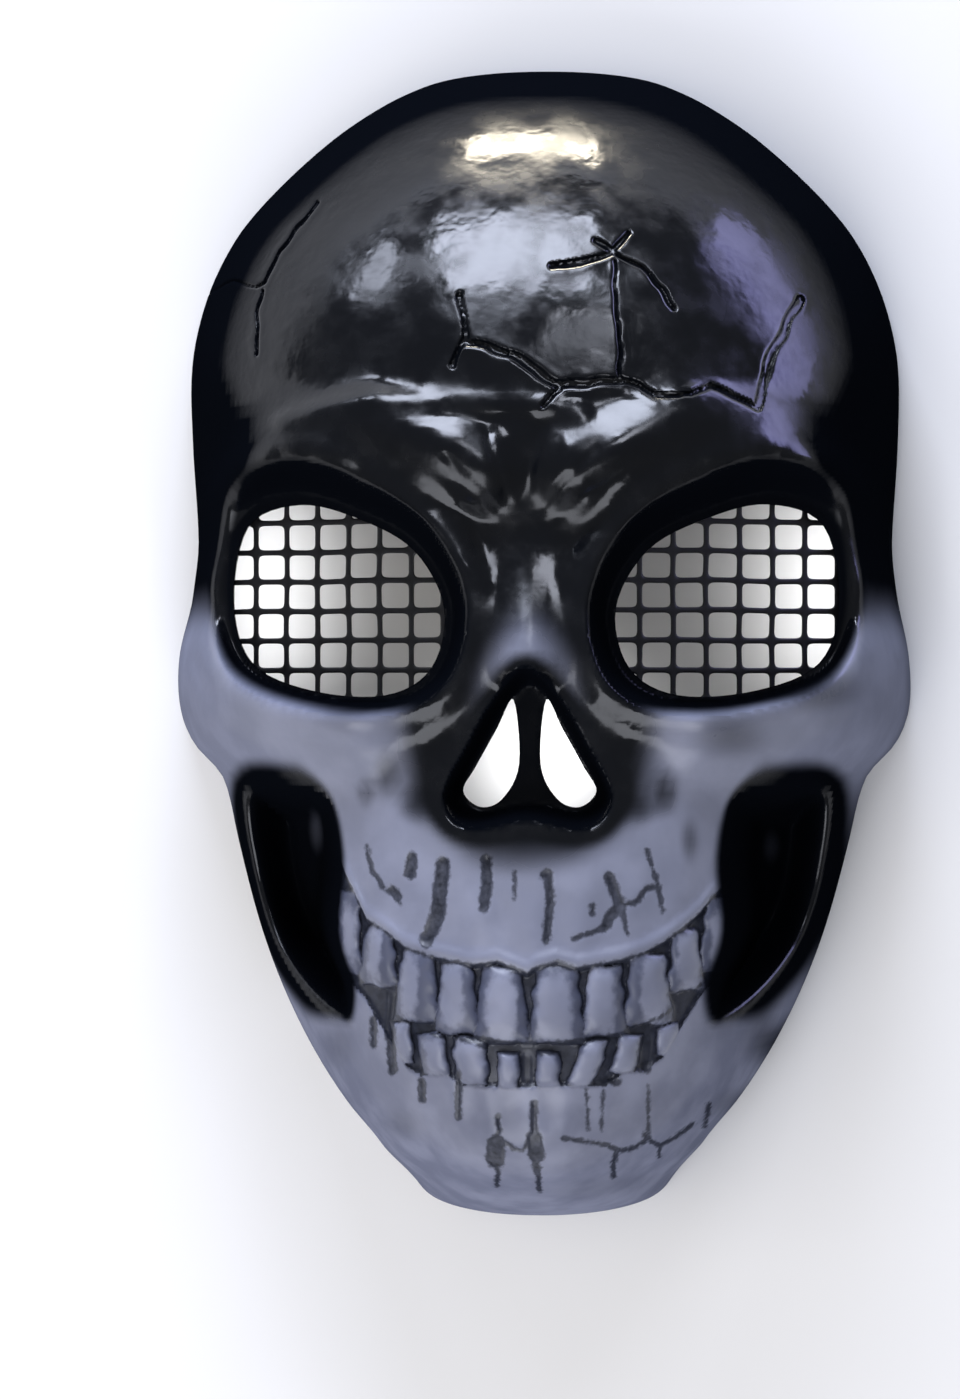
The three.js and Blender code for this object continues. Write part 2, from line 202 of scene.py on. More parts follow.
# %% Outlines and the moulded form
EYE_OUT, EYE_UP, EYE_WIDE, EYE_TALL = 46.0, 9.0, 52.0, 45.0
SOCKET_WIDE, SOCKET_TALL, SOCKET_UP = 65.0, 60.0, 12.0
SOCKET_LAND, SOCKET_DEPTH, SOCKET_TILT = 1.5, 14.0, 0.6
NOSE_UP, CAVITY_DEPTH = -26.0, 13.0
HOLLOW_OUT, HOLLOW_WIDE, HOLLOW_TOP, HOLLOW_TALL = 40, 31, -34, 57
EYE = [(0.36, 1.0), (-0.2, 0.84), (-0.72, 0.5), (-1.0, -0.1), (-0.88, -0.72), (-0.45, -1.0),
       (0.25, -0.95), (0.82, -0.66), (1.0, -0.02), (0.86, 0.78)]
CAVITY = [(0, 1), (0.38, 0.62), (0.72, 0), (1, -0.62), (0.72, -0.98), (0, -0.86),
          (-0.72, -0.98), (-1, -0.62), (-0.72, 0), (-0.38, 0.62)]
NOSTRIL = [(-0.8, 1.0), (-0.2, 0.45), (0.55, -0.25), (1.0, -0.7), (0.4, -1.0), (-0.4, -0.85),
           (-1.0, -0.2)]
HOLLOW = [(0.2, 0.05), (0.55, 0), (0.97, 0.03), (0.96, 0.38), (0.8, 0.66), (0.5, 0.86),
          (0.1, 1.0), (0, 0.84), (0.12, 0.6), (0.08, 0.3)]


def eye_outline(beyond):
    """The eye opening's outline grown by a margin."""
    return placed(EYE, EYE_WIDE + 2 * beyond, EYE_TALL + 2 * beyond, EYE_OUT, EYE_UP)


opening_edge = eye_outline(0.0)
socket_foot = eye_outline(SOCKET_LAND)
socket_rim = placed(EYE, SOCKET_WIDE, SOCKET_TALL, EYE_OUT, SOCKET_UP)
cavity_foot = placed(CAVITY, 32.0, 30.0, 0.0, NOSE_UP)
cavity_rim = placed(CAVITY, 40.0, 38.0, 0.0, NOSE_UP)
nostril_edge = placed(NOSTRIL, 13.0, 25.0, 9.0, NOSE_UP - 1.0)
hollow_edge = closed_curve(
    [(HOLLOW_OUT + HOLLOW_WIDE * a, HOLLOW_TOP - HOLLOW_TALL * b) for a, b in HOLLOW])

BROW = [(12, 38.6), (37, 49.8), (60.7, 47), (74, 33), (75.5, 16.2)]
CHEEK = [(85.1, -5.2), (75.7, -16.4), (60.2, -22), (43, -22)]
JAW = [(70.2, -42), (66.6, -70), (55.8, -98), (36, -120.4)]
# Ridges of the skin: how far each rises, half its width, its course.
RIDGES = [(6, 13, BROW), (7, 15, CHEEK), (5, 13, JAW)]
TEMPLE_DENT, CHIN_RISE, SOCKET_LIP_RISE, NASAL_RISE, HOLLOW_DEPTH = 7, 4, 4, 8, 34


def skin(x, y):
    """The face without its sockets, nose cavity and teeth."""
    depth, out = dome(x, y), np.abs(x)
    relief = -TEMPLE_DENT * swell(np.hypot((out - 80) / 15, (y - 38) / 30))
    for rise, half, course in RIDGES:
        relief += rise * swell(to_run(out, y, course) / half)
    relief += CHIN_RISE * swell(np.hypot(x / 27, (y + 121) / 15))
    relief += SOCKET_LIP_RISE * swell(to_run(out, y, socket_rim, closed=True) / 8)
    relief += NASAL_RISE * ease((26 - y) / 33) * ease((y + 7) / 6 + 1) * swell(out / 12)
    relief -= HOLLOW_DEPTH * ease(-to_outline(out, y, hollow_edge) / 11)
    return depth + ease(depth / RIM_BAND) * relief


socket_floor = float(dome(np.array(EYE_OUT), np.array(EYE_UP))) - SOCKET_DEPTH
cavity_floor = float(dome(np.array(0.0), np.array(NOSE_UP))) - CAVITY_DEPTH


def socket_floor_at(x):
    """The floor of a socket leans back towards the temple."""
    return socket_floor - SOCKET_TILT * (np.abs(x) - EYE_OUT)


def form(x, y):
    """The whole moulded form: skin, sockets and nose cavity with soft walls."""
    depth, out = skin(x, y), np.abs(x)
    for px, foot, rim, floor in ((out, socket_foot, socket_rim, socket_floor_at(x)),
                                 (x, cavity_foot, cavity_rim, cavity_floor)):
        past_foot = np.maximum(to_outline(px, y, foot), 0)
        to_rim = np.maximum(-to_outline(px, y, rim), 0)
        wall_share = past_foot / np.maximum(past_foot + to_rim, 1e-6)
        depth = np.minimum(depth, floor + np.maximum(depth - floor, 0) * ease(wall_share))
    return depth


print("socket floor and nose floor, mm:", round(socket_floor, 1), round(cavity_floor, 1))

# %% [markdown]
# ## Cracks, frown and painted strokes
# The forehead is engraved with a few branching cracks, and folds fan out above the nose like a
# frown. Dark strokes are painted on both jaws. Each is a short course of points on the plan,
# with half its width where it is drawn.

# %% Courses of the fine forms
# Each crack: half width of its groove, then its course.
CRACKS = [
    (0.7, [(-52.3, 104.1), (-58, 95.8), (-60.9, 92.2), (-64.3, 85), (-66.7, 84), (-73.5, 86.1),
           (-84.5, 84.8)]),
    (0.6, [(-65, 82.8), (-65.7, 76.7), (-65.8, 67.2)]),
    (1.0, [(-16.4, 79.4), (-14.3, 69.9), (-17.7, 63.1)]),
    (1.25, [(-14.2, 68.7), (-3.5, 65.3), (7, 58.3), (21.4, 59.5)]),
    (0.9, [(7, 57.1), (3.5, 53.2)]),
    (0.6, [(21.4, 59.5), (20.6, 73.4), (19.5, 87.5)]),
    (1.1, [(19, 90), (12.1, 87), (5.4, 86.3)]),
    (0.9, [(19, 90), (22.8, 94.2)]),
    (1.0, [(19, 90), (15.4, 92.9)]),
    (0.8, [(19, 90), (25.8, 86.4), (30.4, 81.6), (33.7, 76)]),
    (0.9, [(21.4, 59.5), (26, 58.4), (29.5, 56), (37.4, 56.1), (41.9, 58.6), (49.8, 54.8),
           (53.2, 53.2)]),
    (1.3, [(63, 80.2), (59, 72.1), (54.8, 63.8), (53.2, 54.4)]),
]
# Each fold of the frown: half width, rise, then its course. The last ones are creases.
FOLDS = [
    (7.0, 0.6, [(-13, 31), (-20, 35), (-25, 37)]),
    (5.0, 0.45, [(-15, 24), (-24, 28), (-29, 30.5)]),
    (7.0, 0.65, [(-8.5, 35), (-11.5, 40), (-15.5, 46)]),
    (6.5, 0.6, [(-3.4, 39), (-3.6, 47)]),
    (7.0, 0.7, [(3, 37), (7, 43), (11.5, 48)]),
    (6.0, 0.55, [(8, 34), (14, 37.5), (21.5, 42)]),
    (5.0, 0.5, [(9, 27), (16, 30.5), (24, 35)]),
    (1.6, -0.35, [(-6.5, 29), (-13, 35.5), (-19, 41.5)]),
    (1.6, -0.4, [(-4.6, 31), (-7.2, 39), (-9, 47)]),
    (1.6, -0.4, [(-1, 31), (1, 39), (3, 48.5)]),
    (1.6, -0.35, [(2, 29), (9, 36), (16, 43)]),
    (1.6, -0.3, [(4.5, 26), (13, 32), (22.5, 37.5)]),
    (1.6, -0.3, [(-8, 26), (-15.5, 28.5), (-23.5, 32.5)]),
]
# Low ridges: the ledge over the brows, the lower lips of the main crack, the brows' sharp edges.
CRESTS = [
    (4.0, 1.3, [(-58, 50.5), (-39.5, 55.3), (-25, 55.4), (-11.8, 53.9), (0.5, 53.8), (12, 52)]),
    (1.9, 0.5, [(-14.8, 66.6), (-4.4, 63.0), (6.3, 56.2)]),
    (1.7, 0.35, [(8.5, 56.0), (21.4, 57.3), (29.3, 53.8)]),
    (5.0, 0.7, [(-47, 41.5), (-41.9, 40.8), (-28.9, 31.1), (-20.3, 21.8), (-9, 13.5)]),
    (5.0, 0.7, [(47, 41.5), (40, 41.2), (28.2, 33), (19.7, 25), (10, 16)]),
]
# Each stroke: half width at its points, then its course.
STROKES = [
    (1.4, [(-26.8, -51.2), (-27.2, -54.7)]),
    (1.7, [(-19.4, -52.3), (-20, -58.4), (-20.7, -64.6), (-23.2, -70)]),
    (1.25, [(-9.3, -51.5), (-9.1, -56.8), (-9.8, -62.2)]),
    (0.45, [(-2.9, -54.5), (-2.8, -60.2)]),
    (0.95, [(3.8, -54.9), (5, -54.5), (5.4, -60.6), (4.6, -69.8)]),
    (1.2, [(18.9, -55.3), (20.2, -58.8), (21.4, -61.8), (19.2, -64.5), (18, -66.9)]),
    (0.6, [(18, -66.9), (14.5, -68.3), (10.7, -69.4)]),
    (0.6, [(15.1, -61.8), (15.1, -63.8)]),
    (0.6, [(21.4, -62.1), (25.2, -61.1), (27.4, -58.1), (29, -57.7)]),
    (0.4, [(22.1, -63), (23, -68.4)]),
    (0.5, [(27.4, -49.2), (29.3, -54.6), (30.1, -57.7), (31.2, -63.5)]),
    (0.5, [(-37.7, -48.7), (-36.5, -54.1), (-33.7, -57.9), (-31.2, -59.4), (-29.6, -61.7)]),
    (1.1, [(-31.5, -58.6), (-30.2, -60)]),
    (0.6, [(-6.8, -110.6), (-6.5, -113.7), (-7.4, -116.1), (-7.6, -121.1), (-7.2, -124.5),
           (-7.9, -127.8)]),
    (2.2, [(-7.3, -117), (-7.7, -121)]),
    (0.9, [(1.6, -107.5), (1.6, -113.7), (1.8, -116), (1.8, -120.1), (2.0, -123.5)]),
    (1.9, [(1.7, -115.6), (1.9, -119.6)]),
    (0.6, [(2.2, -123.5), (2, -129.1)]),
    (0.55, [(-5.2, -116.5), (-3.3, -118), (-1, -118.4), (0.6, -116.4)]),
    (0.5, [(8.2, -115.7), (14.2, -116.8), (18, -117.8), (20.2, -119.3), (23.1, -119.5),
           (26.6, -117.8), (26.7, -115.7), (28.1, -118), (29.9, -119.1), (33.7, -117.4),
           (37.6, -114.5)]),
    (0.55, [(20.2, -119.3), (19.3, -122.7), (19.2, -126.4)]),
    (0.45, [(41.4, -109.9), (40.1, -116.4)]),
    (0.4, [(29.9, -119.1), (29.6, -122.3)]),
    (1.4, [(0, -96.8), (0, -102)]),
    (1.1, [(18.2, -101.8), (20.4, -102.6)]),
    (1.0, [(-24.8, -103), (-24.7, -107)]),
    (0.8, [(-15.9, -100.7), (-16.1, -111)]),
    (1.6, [(27.4, -93.2), (26.9, -99.4)]),
    (1.2, [(-31.7, -83.4), (-32.3, -90.5), (-31.9, -100.8)]),
    (0.9, [(-36.4, -89.1), (-36.5, -95.1)]),
    (0.3, [(13.7, -104.4), (13.9, -113.9)]),
    (0.3, [(17.5, -104.5), (16.9, -114.1)]),
    (0.35, [(27.6, -104.2), (27.4, -115.7)]),
]


def ripple(x, y, length, turn=0.0):
    """A smooth wander, mostly between -1 and 1, with bumps about a length apart."""
    total = np.zeros(np.shape(x))
    for k in range(5):
        angle = turn + 1.3 * k
        wave = 2 * math.pi / (length * (0.75 + 0.2 * k))
        total += np.sin(wave * (x * math.cos(angle) + y * math.sin(angle)) + 2.1 * k * k + turn)
    return total / 3


def edge_distance(x, y, courses, reach):
    """Distance to the drawn edge of the nearest course, negative on it."""
    near = np.full(np.shape(x), FAR)
    for half, course in courses:
        near = np.minimum(near, to_run(x, y, course, reach=reach) - half)
    return near


print("cracks, folds and strokes:", len(CRACKS), len(FOLDS), len(STROKES))

# %% [markdown]
# ## Teeth
# The teeth aren't all alike. Each has its own place, width, top and foot, and some lean. A tooth
# is a boxy round swell: a superellipse in both directions. The gum line, the bite and the lower
# gum are three courses that run from side to side, so each is read as a height over x.

# %% Teeth and gum lines
# Each tooth: middle, half width, top, foot, lean; then its light face: middle, half width, top,
# foot. A tooth that leans shifts by so many millimetres from its middle to its top.
FOOT, LEAN, FACE_START = 3, 4, 5
UPPER_TEETH_END = -95
TEETH = np.array([
    (-5.7, 5.6, -75.4, -93.7, 0.0, -5.7, 3.5, -77.4, -93.5),
    (6.9, 5.8, -75.4, -93.7, 0.0, 6.4, 4.0, -77.8, -93.5),
    (-16.2, 4.6, -74.6, -91.8, 0.0, -17.1, 2.6, -75.3, -91.0),
    (18.0, 4.5, -75.3, -92.1, 0.0, 17.0, 3.2, -76.0, -91.3),
    (-25.7, 4.7, -72.0, -89.2, 0.3, -27.3, 2.0, -72.8, -88.6),
    (27.9, 4.9, -73.1, -89.7, 0.0, 29.1, 2.9, -72.7, -89.3),
    (-34.8, 4.2, -66.8, -81.2, 0.3, -35.8, 1.5, -67.2, -80.5),
    (36.4, 3.6, -67.5, -82.3, 0.0, 37.1, 2.5, -67.9, -81.9),
    (-42.4, 3.2, -58.9, -78.6, 0.2, -42.1, 1.8, -62.8, -76.1),
    (44.3, 4.1, -60.4, -78.0, 0.0, 44.5, 2.6, -63.9, -77.5),
    (-4.3, 2.6, -95.4, -104.4, 0.0, -4.3, 2.2, -95.8, -104.6),
    (5.0, 2.8, -95.4, -104.4, 0.0, 5.0, 2.3, -95.8, -104.6),
    (-13.0, 4.0, -92.0, -103.3, -0.4, -13.2, 3.4, -92.6, -102.9),
    (14.2, 3.1, -92.5, -103.7, 2.2, 14.2, 2.8, -92.9, -103.6),
    (-21.8, 3.5, -91.6, -101.7, -0.6, -21.4, 2.4, -92.4, -101.2),
    (23.0, 2.9, -91.5, -101.0, 1.2, 23.0, 2.5, -92.0, -100.7),
    (-29.3, 2.6, -89.0, -99.0, -0.4, -29.0, 1.6, -89.5, -98.6),
    (32.1, 2.4, -89.6, -97.2, 0.4, 32.1, 2.0, -90.0, -96.8),
])
GUM = np.array([(-48, -44), (-44.6, -52), (-41.9, -57.3), (-37.8, -65.7), (-33.7, -67.9),
                (-28.8, -71.7), (-22.5, -73.8), (-17, -74.9), (-12.3, -75.8), (-9.2, -75.5),
                (-6.9, -75), (-2.3, -76.7), (0.2, -77.8), (2.3, -76.3), (6.9, -75.1),
                (11.5, -76.5), (16.1, -75.6), (22.1, -74.6), (26.7, -73), (31.2, -70.8),
                (35.8, -67.5), (39.6, -64.1), (42.6, -60.3), (46.4, -56.8)])
BITE = np.array([(-42.3, -78.5), (-37.1, -81.3), (-30.6, -88), (-25.7, -90.1), (-20.2, -92.3),
                 (-12.3, -92.8), (-5.3, -94.4), (0.8, -94.8), (8.4, -94.4), (14.5, -92.8),
                 (21.3, -91.4), (25.9, -90), (31.9, -87.1), (37.3, -82.7), (42.6, -78.4)])
LOW_GUM = np.array([(-46, -78), (-38.5, -84), (-33.5, -92), (-28.4, -99.7), (-25.1, -101.5),
                    (-18.7, -101.2), (-14.8, -103.4), (-9.3, -103.7), (-3.9, -104), (0.7, -103.6),
                    (7.6, -103.4), (12.9, -103.6), (18.2, -103.4), (22, -100.8), (26.6, -100.2),
                    (31.1, -97.5), (35, -91), (40, -83), (46, -78)])


def line_at(x, course):
    """The height of a course that runs from side to side, at x."""
    return np.interp(x, course[:, 0], course[:, 1])


def tooth_place(x, y, row, face):
    """Where a plan point lies on a tooth or on its light face, as shares of its half sizes."""
    start = FACE_START if face else 0
    middle, half, top, foot = row[start:start + 4]
    v = (y - (top + foot) / 2) / ((top - foot) / 2)
    return (x - middle - row[LEAN] * v) / half, v, half


def teeth_rise(x, y):
    """How far the teeth stand out, from 0 to 1."""
    rise = np.zeros(np.shape(x))
    x, y = x + 0.4 * ripple(x, y, 5.0, 0.9), y + 0.4 * ripple(x, y, 6.0, 2.2)
    for row in TEETH:
        u, v, _ = tooth_place(x, y, row, face=False)
        # Upper teeth are narrower at the gum.
        u = u * (1 + 0.2 * v) if row[FOOT] > UPPER_TEETH_END else u
        across = np.maximum(1 - np.abs(u) ** 2.8, 0) ** 0.5
        upright = np.maximum(1 - np.abs(v) ** 3.4, 0) ** 0.5
        rise = np.maximum(rise, across * upright)
    return rise


def in_mouth(x, y):
    """1 between the gum lines, 0 outside them."""
    beside = ease((47 - np.abs(x)) / 2)
    below_gum = ease((line_at(x, GUM) - y) / 1.1 + 0.3)
    above_low_gum = ease((y - line_at(x, LOW_GUM)) / 1.6 + 0.3)
    return beside * below_gum * above_low_gum


print("teeth:", len(TEETH), "from", TEETH[:, 0].min(), "to", TEETH[:, 0].max(), "mm across")

# %% [markdown]
# ## The relief laid over the big form
# Cracks are cut, folds and ledges swell, teeth stand out of a sunken mouth, and their roots show
# as faint waves in the jaws. Each is a height in millimetres that is added to the form. A
# hand-held tool never runs quite straight, so the courses wander a little.

# %% Relief, outside and inside
WANDER, STROKE_DENT = 0.35, 0.5
CRACK_DEPTH, CRACK_WALL, CRACK_LIP = 1.3, 0.75, 0.1
MOUTH_SINK, TOOTH_RISE, GUM_LEDGE = 1.5, 3.2, 0.9
UPPER_ROOT, UPPER_PITCH, LOWER_ROOT, LOWER_PITCH = 0.35, 11.5, 0.3, 8.7
LONG_WAVE, SHORT_WAVE = 0.14, 0.05
EDGE_ROUND, EDGE_DROP, TOP_SOFT = 1.1, 0.5, 0.5


def fine_relief(x, y):
    """Everything that is laid over the big form."""
    wander_x = x + WANDER * ripple(x, y, 7.0, 0.4)
    wander_y = y + WANDER * ripple(x, y, 7.0, 2.0)
    cut = edge_distance(wander_x, wander_y, CRACKS, 8.0)
    relief = -CRACK_DEPTH * ease(-cut / CRACK_WALL) + CRACK_LIP * swell(np.abs(cut - 0.5) / 1.1)
    for half, rise, course in FOLDS + CRESTS:
        relief += rise * swell(to_run(wander_x, wander_y, course, reach=half + 1) / half)
    mouth = in_mouth(x, y)
    above = y - line_at(x, GUM)
    ledge = ease((48 - np.abs(x)) / 4) * swell(np.abs(above - 1.6) / 2.6)
    relief += mouth * (-MOUTH_SINK + TOOTH_RISE * teeth_rise(x, y)) + GUM_LEDGE * ledge
    roots = swell(np.abs(above - 9) / 12) * ease((44 - np.abs(x)) / 6)
    relief += UPPER_ROOT * roots * np.cos(2 * math.pi * (x - 0.6) / UPPER_PITCH)
    low_roots = swell(np.abs(y - line_at(x, LOW_GUM) + 6) / 9) * ease((34 - np.abs(x)) / 6)
    relief += LOWER_ROOT * low_roots * np.cos(2 * math.pi * (x - 0.4) / LOWER_PITCH)
    relief -= STROKE_DENT * ease(-edge_distance(x, y, STROKES, 4.0) / 0.8)
    return relief


def outside(x, y):
    """The finished outside, with its fine forms and the slight waves of thin moulded plastic."""
    depth = form(x, y)
    hold = ease(dome(x, y) / RIM_BAND)
    waves = LONG_WAVE * ripple(x, y, 17.0) + SHORT_WAVE * ripple(x, y, 7.0, 1.0)
    # The edges of the openings are rolled over a little.
    lip = to_outline(np.abs(x), y, opening_edge)
    nose_lip = to_outline(np.abs(x), y, nostril_edge)
    rolled = clamp(1 - np.abs(lip) / EDGE_ROUND) ** 2
    rolled = rolled + clamp(1 - np.abs(nose_lip) / EDGE_ROUND) ** 2
    depth = depth + hold * (fine_relief(x, y) + waves) - EDGE_DROP * rolled
    # The very top is pressed softly, so that it stays inside the solid model's box.
    over = np.maximum(depth - cad_box[1][2] / MM + TOP_SOFT, 0)
    return depth - over * over / (TOP_SOFT + over)


def inside(x, y):
    """The inside: the wall below the lowest of the form close by."""
    lowest = form(x, y)
    for reach, turns in ((1.3, 6), (2.6, 12)):
        for angle in 2 * math.pi * np.arange(turns) / turns:
            nearby = form(x + reach * math.cos(angle), y + reach * math.sin(angle))
            lowest = np.minimum(lowest, nearby)
    return lowest - WALL


cheek_x, cheek_y = np.array(60.0), np.array(-20.0)
wall_here = float(outside(cheek_x, cheek_y) - inside(cheek_x, cheek_y))
print("outside over inside at the cheek, mm:", round(wall_here, 1))

# %% [markdown]
# ## The shell as two closed slabs
# A flat grid is spread over the face's outline, with its lines closer where the surface is steep.
# Each point is raised to the form and the rim is filled, which gives a closed slab. A second,
# coarser slab is taken away from inside it. That is cleaner than giving one surface a thickness,
# which would fold at the teeth.

# %% A grid over the face
POLE = 0.9995


def spread(count, course_at):
    """Grid lines from -1 to 1, evenly far apart along a course."""
    fine = np.linspace(-1.0, 1.0, 4001)
    run = np.cumsum(np.linalg.norm(np.gradient(np.array(course_at(fine)), axis=1), axis=0))
    share = (run - run[0]) / (run[-1] - run[0])
    return np.interp(np.linspace(0.0, 1.0, count + 1), share, fine)


def across_course(side):
    """From side to side: place and depth."""
    return side * HALF_WIDTH, FACE_DEPTH * (1 - np.abs(side) ** 2.3) ** 0.5


def upright_course(up):
    """From chin to crown: height, depth and half width, so the round ends get enough lines."""
    return up * HALF_HEIGHT, dome(np.zeros(np.shape(up)), up * HALF_HEIGHT), half_width_at(up)


def face_grid(columns, rows, inset):
    """A flat grid over the face's plan, drawn in from its outline by an inset."""
    grid = bmesh.new()
    bmesh.ops.create_grid(grid, x_segments=columns, y_segments=rows, size=1.0)
    place = np.array([vert.co for vert in grid.verts])
    column_lines = spread(columns, across_course)
    row_lines = spread(rows, upright_course)
    side = np.interp(place[:, 0], np.linspace(-1, 1, columns + 1), column_lines)
    up = np.interp(place[:, 1], np.linspace(-1, 1, rows + 1), row_lines) * POLE
    x = side * (half_width_at(up) - inset)
    y = up / POLE * (HALF_HEIGHT - inset)
    for vert, px, py in zip(grid.verts, x, y):
        vert.co = (px, py, 0.0)
    return grid


def raise_slab(grid, depth_at, rim_depth, base_depth):
    """Raises a flat grid to its depths and closes it underneath."""
    place = np.array([vert.co for vert in grid.verts])
    depths = np.maximum(depth_at(place[:, 0], place[:, 1]), rim_depth)
    for vert, depth in zip(grid.verts, depths):
        vert.co.z = rim_depth if vert.is_boundary else depth
    rim = [edge for edge in grid.edges if edge.is_boundary]
    if base_depth < rim_depth:
        grown = bmesh.ops.extrude_edge_only(grid, edges=rim)["geom"]
        skirt = [item for item in grown if isinstance(item, bmesh.types.BMVert)]
        bmesh.ops.translate(grid, verts=skirt, vec=(0, 0, base_depth - rim_depth))
        rim = [edge for edge in grid.edges if edge.is_boundary]
    bmesh.ops.edgeloop_fill(grid, edges=rim)
    bmesh.ops.recalc_face_normals(grid, faces=grid.faces[:])
    return grid


def to_object(name, shape):
    """A scene object from a bmesh, still in millimetres."""
    mesh = bpy.data.meshes.new(name)
    shape.to_mesh(mesh)
    shape.free()
    thing = bpy.data.objects.new(name, mesh)
    bpy.context.scene.collection.objects.link(thing)
    return thing


def combine(base, tool, operation):
    """Joins or cuts two closed pieces with a Boolean modifier and keeps the result as mesh."""
    modifier = base.modifiers.new("combine", "BOOLEAN")
    modifier.operation = operation
    modifier.solver = "MANIFOLD"
    modifier.object = tool
    settled = base.evaluated_get(bpy.context.evaluated_depsgraph_get())
    result = bpy.data.meshes.new_from_object(settled)
    base.modifiers.clear()
    old = base.data
    base.data = result
    bpy.data.meshes.remove(old)
    bpy.data.objects.remove(tool)


crown_step = HALF_HEIGHT * (1 - spread(150, upright_course)[-2])
print("the last grid row lies", round(crown_step, 2), "mm below the crown")

# %% [markdown]
# ## Finer faces where the detail is
# Teeth, cracks and edges need faces under half a millimetre. Cutting the whole grid so fine would
# take millions, so each place gets a level from 0 to 3 and is halved that many times.

# %% Levels of detail
def tooth_edge(x, y):
    """Distance to the nearest tooth's edge, roughly, in millimetres."""
    near = np.full(np.shape(x), FAR)
    for row in TEETH:
        u, v, half = tooth_place(x, y, row, face=False)
        near = np.minimum(near, np.abs((np.abs(u) ** 4 + np.abs(v) ** 4) ** 0.25 - 1) * half)
    return near


def detail_level(x, y):
    """0 for the plain big form, up to 3 for the sharpest detail."""
    out = np.abs(x)
    cracks = edge_distance(x, y, CRACKS, 8.0)
    strokes = edge_distance(x, y, STROKES, 5.0)
    gum, low = line_at(x, GUM), line_at(x, LOW_GUM)
    mouth = (y < gum + 4) & (y > low - 3) & (out < 49)
    to_eye, to_nostril = to_outline(out, y, opening_edge), to_outline(out, y, nostril_edge)
    opening = np.minimum(np.abs(to_eye), np.abs(to_nostril))
    socket = to_outline(out, y, socket_rim)
    hollow = np.abs(to_outline(out, y, hollow_edge) + 5)
    level = np.zeros(np.shape(x))
    level[(np.abs(socket + 3) < 9) | (hollow < 9) | (to_outline(x, y, cavity_rim) < 5)] = 1
    level[(out < 30) & (y > 20) & (y < 60)] = 2
    level[(out < 48) & (y < -40) & (y > -132)] = 1
    level[(to_run(out, y, CHEEK) < 12) | (to_run(x, y, CRESTS[0][2]) < 6)] = 1
    level[mouth | (cracks < 2.0) | (strokes < 1.5) | (opening < 2.0)] = 2
    level[(np.abs(socket + 2) < 3.5) | (np.abs(to_outline(x, y, cavity_rim) + 2) < 3)] = 2
    sharp = mouth & ((tooth_edge(x, y) < 0.6) | (np.abs(y - gum) < 0.9))
    level[sharp | (np.abs(cracks) < 0.7)] = 3
    return level


def refine(grid, level_at):
    """Halves the faces where a level function asks for it, level by level."""
    for level in (1, 2, 3):
        middles = np.array([face.calc_center_median() for face in grid.faces])
        wanted = level_at(middles[:, 0], middles[:, 1]) >= level
        edges = {edge for face, take in zip(grid.faces, wanted) if take for edge in face.edges}
        bmesh.ops.subdivide_edges(grid, edges=list(edges), cuts=1, use_grid_fill=True)
        print("level", level, "faces:", len(grid.faces))


outer = face_grid(110, 150, 0.0)
refine(outer, detail_level)

# %% [markdown]
# ## The two slabs and what is cut from them
# The inner slab starts below the rim and so opens the shell behind. Prisms cut the eyes, the nose
# holes and a seat for each net, and a rounded bar cuts each strap slot. The faces that the inner
# slab leaves keep its material number, for bare plastic.

# %% Cutting the shell
def outline_prism(outline, side, low, high):
    """An upright closed prism over an outline, on one side of the face."""
    prism = bmesh.new()
    bmesh.ops.create_circle(prism, cap_ends=True, segments=len(outline), radius=1.0)
    for vert, point in zip(prism.verts, outline):
        vert.co = (side * point[0], point[1], low)
    grown = bmesh.ops.extrude_face_region(prism, geom=prism.faces[:])["geom"]
    top = [item for item in grown if isinstance(item, bmesh.types.BMVert)]
    bmesh.ops.translate(prism, verts=top, vec=(0, 0, high - low))
    bmesh.ops.recalc_face_normals(prism, faces=prism.faces[:])
    return prism


def along_floor(shape):
    """Leans a flat piece to the slope of the socket's floor."""
    for vert in shape.verts:
        vert.co.z += float(socket_floor_at(vert.co.x))
    return shape


FLANGE, SEAT_GAP = 3.5, 0.3
SLOT_LONG, SLOT_WIDE, SLOT_CORNER, SLOT_UP, SLOT_ABOVE_RIM = 22.0, 5.5, 1.2, 18.0, 12.0
PAINTED, BARE = 0, 1

